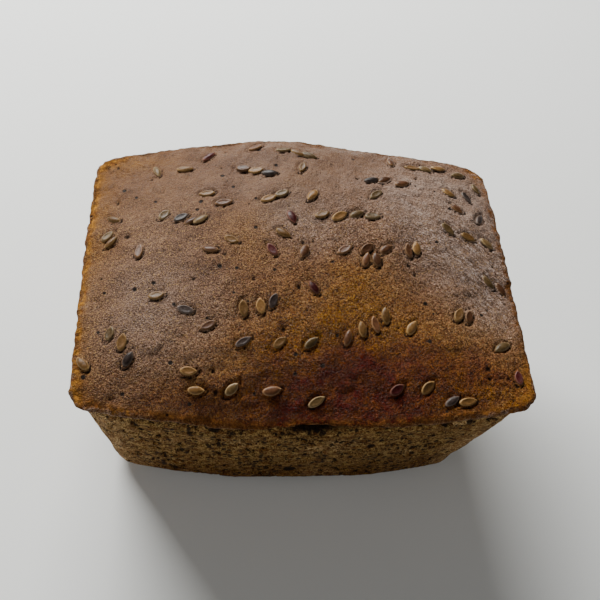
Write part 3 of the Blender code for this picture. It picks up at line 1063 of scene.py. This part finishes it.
def crust_colour(tree, fields):
    """Browned top, khaki walls, bare crumb on the rim, and painted shade in the holes, pits,
    moats, crack and seam.
    """
    top, wall = top_colour(tree, fields), wall_colour(tree, fields["bubbles"])
    colour = mixed(tree, share_of(tree, "wall"), top, wall)
    breaks = graded(tree, texture(tree, RIM_BREAKS, 4.0), 0.40, 0.60)
    colour = mixed(tree, times(tree, share_of(tree, "edge"), breaks), colour, edge_colour(tree))
    # painted shade in holes, pits, moats, the crack, the seam and the pinholes
    painted_shade = graded(tree, share_of(tree, "pit_and_shade"), 0.30, 0.80, 0.0, 0.95)
    return mixed(tree, worked(tree, "MAXIMUM", painted_shade, fields["holes"]), colour, PIT_SHADE)


def crust_roughness(tree):
    """Satin on top, dull on the walls and the rim and in the holes."""
    dull = worked(tree, "MAXIMUM", share_of(tree, "pit_and_shade"), share_of(tree, "edge"))
    dull = worked(tree, "MAXIMUM", share_of(tree, "wall"), dull)
    rough = graded(tree, dull, 0.0, 1.0, TOP_ROUGHNESS, DULL_ROUGHNESS)
    satin = graded(tree, texture(tree, SATIN, 3.0), 0.3, 0.7, -0.05, 0.07)
    return worked(tree, "ADD", rough, satin)


def crust_relief(tree, fields):
    """Pebbled skin with pits and holes, then creases, lumps and powder."""
    coarse = share_of(tree, "coarse")
    skin = times(tree, graded(tree, fields["pebble"], 0.0, 0.8, 1.0, 0.0), coarse)
    pits = times(tree, fields["bubbles"], share_of(tree, "wall"))
    skin = worked(tree, "SUBTRACT", worked(tree, "SUBTRACT", skin, pits), fields["holes"])
    folds = times(tree, fields["folds"], share_of(tree, "creased"))
    powder = times(tree, texture(tree, POWDER_RELIEF, 2.0, 0.6), scaled(tree, "soft", 1.0, 0.5))
    relief = bumped(tree, skin, PEBBLE_BUMP)
    relief = bumped(tree, folds, CREASE_BUMP, relief)
    relief = bumped(tree, times(tree, fields["lumps"], coarse), LUMP_BUMP, relief)
    return bumped(tree, powder, POWDER_BUMP, relief)


def crust_material():
    material, tree, shader = new_material("crust", TOP_ROUGHNESS, CRUST_SPECULAR)
    fields = crust_fields(tree)
    tree.links.new(crust_colour(tree, fields), shader.inputs["Base Color"])
    tree.links.new(crust_roughness(tree), shader.inputs["Roughness"])
    tree.links.new(crust_relief(tree, fields), shader.inputs["Normal"])
    return material


# Body and rim of each kind of seed; the paler rim is a highlight painted along the seed's edge
SEED_COLOURS = {
    "tan": ((0.130, 0.064, 0.020, 1.0), (0.300, 0.180, 0.068, 1.0)),
    "olive": ((0.094, 0.056, 0.022, 1.0), (0.240, 0.166, 0.082, 1.0)),
    "brown": ((0.078, 0.032, 0.014, 1.0), (0.210, 0.115, 0.054, 1.0)),
    "slate": ((0.030, 0.020, 0.017, 1.0), (0.120, 0.088, 0.070, 1.0)),
    "plum": ((0.042, 0.006, 0.006, 1.0), (0.190, 0.080, 0.055, 1.0)),
}


def seed_material(kind):
    """A smooth hull: body colour, a paler thin rim painted as the highlight along its edge,
    faint streaks and a satin gloss.
    """
    material, tree, shader = new_material(f"linseed_{kind}", HULL_ROUGHNESS, HULL_SPECULAR)
    body, rim_highlight_colour = SEED_COLOURS[kind]
    streaks = texture(tree, HULL_STREAKS, 3.0, 0.6)
    # the paler rim is a painted highlight along the seed's edge
    colour = mixed(tree, scaled(tree, "rim", 0.0, 0.85), body, rim_highlight_colour)
    colour = toned(tree, colour, graded(tree, streaks, 0.3, 0.7, 0.74, 1.26))
    colour = toned(tree, colour, scaled(tree, "tone", 0.70, 1.30))
    tree.links.new(colour, shader.inputs["Base Color"])
    tree.links.new(graded(tree, streaks, 0.3, 0.7, 0.28, 0.44), shader.inputs["Roughness"])
    tree.links.new(bumped(tree, streaks, HULL_BUMP), shader.inputs["Normal"])
    return material


# ---------------------------------------------------------------- stage
FLOOR_SIZE = 6.0
FLOOR_COLOUR = (0.85, 0.86, 0.85, 1.0)
CAMERA_PLACE = (-0.0186, -0.1522, 0.2594)
CAMERA_LENS = 50.2
CAMERA_TURN = 7.35           # degrees to the right of straight across the loaf
CAMERA_DIP = 53.8            # degrees below level
CAMERA_ROLL = 7.1            # degrees


def make_floor():
    bpy.ops.mesh.primitive_plane_add(size=FLOOR_SIZE, location=(0.0, 0.0, 0.0))
    floor = bpy.context.active_object
    floor.name = "floor"
    material, _, shader = new_material("floor", 0.9, 0.2)
    shader.inputs["Base Color"].default_value = FLOOR_COLOUR
    floor.data.materials.append(material)


def add_area_light(name, place, size_x, size_y, power, colour):
    """A soft light that faces the loaf."""
    light = bpy.data.lights.new(name, "AREA")
    light.shape = "RECTANGLE"
    light.size = size_x
    light.size_y = size_y
    light.energy = power
    light.color = colour
    lamp = bpy.data.objects.new(name, light)
    lamp.location = place
    aim = Vector((0.0, 0.0, 0.03)) - Vector(place)
    lamp.rotation_euler = aim.to_track_quat("-Z", "Y").to_euler()
    bpy.context.scene.collection.objects.link(lamp)


def make_light():
    """A soft window close behind the loaf, weak fill in front and an even surround."""
    add_area_light("window", (-0.26, 0.66, 0.56), 0.7, 0.30, 20.0, (1.0, 1.0, 0.97))
    add_area_light("fill", (-0.5, -1.3, 0.55), 1.4, 0.5, 4.0, (1.0, 0.99, 0.97))
    add_area_light("left", (-1.3, -0.3, 0.45), 0.8, 0.5, 3.0, (1.0, 0.99, 0.97))
    add_area_light("right", (1.3, -0.3, 0.45), 0.8, 0.5, 2.5, (1.0, 0.99, 0.97))
    world = bpy.data.worlds.new("studio")
    world.use_nodes = True
    background = world.node_tree.nodes["Background"]
    background.inputs["Color"].default_value = (0.93, 0.93, 0.90, 1.0)
    background.inputs["Strength"].default_value = 0.06
    bpy.context.scene.world = world


def make_camera():
    camera = bpy.data.objects.new("camera", bpy.data.cameras.new("camera"))
    camera.data.lens = CAMERA_LENS
    camera.data.clip_start = 0.01
    turn, dip = math.radians(CAMERA_TURN), math.radians(CAMERA_DIP)
    ahead = Vector((math.sin(turn) * math.cos(dip), math.cos(turn) * math.cos(dip),
                    -math.sin(dip)))
    aim = ahead.to_track_quat("-Z", "Y").to_matrix()
    roll = Matrix.Rotation(math.radians(CAMERA_ROLL), 3, "Z")
    camera.matrix_world = Matrix.Translation(CAMERA_PLACE) @ (aim @ roll).to_4x4()
    bpy.context.scene.collection.objects.link(camera)
    bpy.context.scene.camera = camera


# ---------------------------------------------------------------- the scene
def dress():
    seeds = seed_places()
    crust = make_crust(seeds)
    crust.data.materials.append(crust_material())
    pieces = [crust]
    for kind, piece in make_seeds(seeds).items():
        piece.data.materials.append(seed_material(kind))
        pieces.append(piece)
    for piece in pieces:
        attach(piece, "root")
        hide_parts("loaf")


dress()
make_floor()
make_light()
make_camera()
